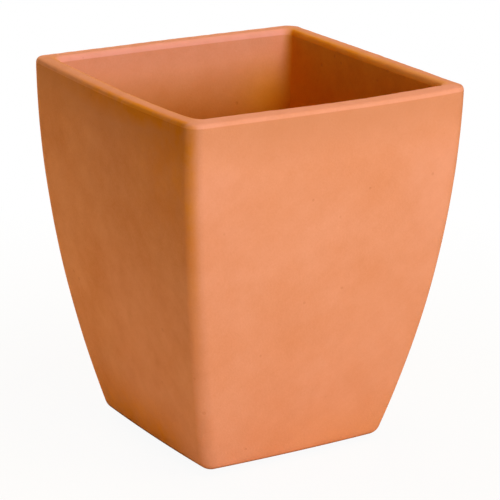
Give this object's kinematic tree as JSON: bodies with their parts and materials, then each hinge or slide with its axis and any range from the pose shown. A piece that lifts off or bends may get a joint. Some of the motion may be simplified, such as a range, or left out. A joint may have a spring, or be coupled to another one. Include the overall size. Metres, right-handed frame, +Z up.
{
  "type": "orchid pot",
  "caption": "Tall square terracotta orchid pot with bowed, tapering sides, a banded lip, a drain hole with a lift-out rubber plug, and cork foot pads.",
  "frame": {"origin": "middle of the plane that the foot pads stand on", "axes": "+Z up through the mouth; the walls face +X, -X, +Y and -Y; the picture shows the -Y wall lit and the -X wall in shade"},
  "size_m": [0.1374, 0.1374, 0.1617],
  "materials": {
    "terracotta": "unglazed, matte",
    "plug_rubber": "moulded, satin",
    "pad_cork": "granulated cork, matte"
  },
  "bodies": {
    "pot": {"pot_body": "terracotta", "foot_pad_front_left": "pad_cork", "foot_pad_front_right": "pad_cork", "foot_pad_back_left": "pad_cork", "foot_pad_back_right": "pad_cork"},
    "plug": {"drain_plug": "plug_rubber"}
  },
  "joints": [
    {"name": "plug_lift", "type": "slide", "parent": "pot", "child": "plug", "axis": [0, 0, 1], "range_m": [0, 0.165]}
  ]
}
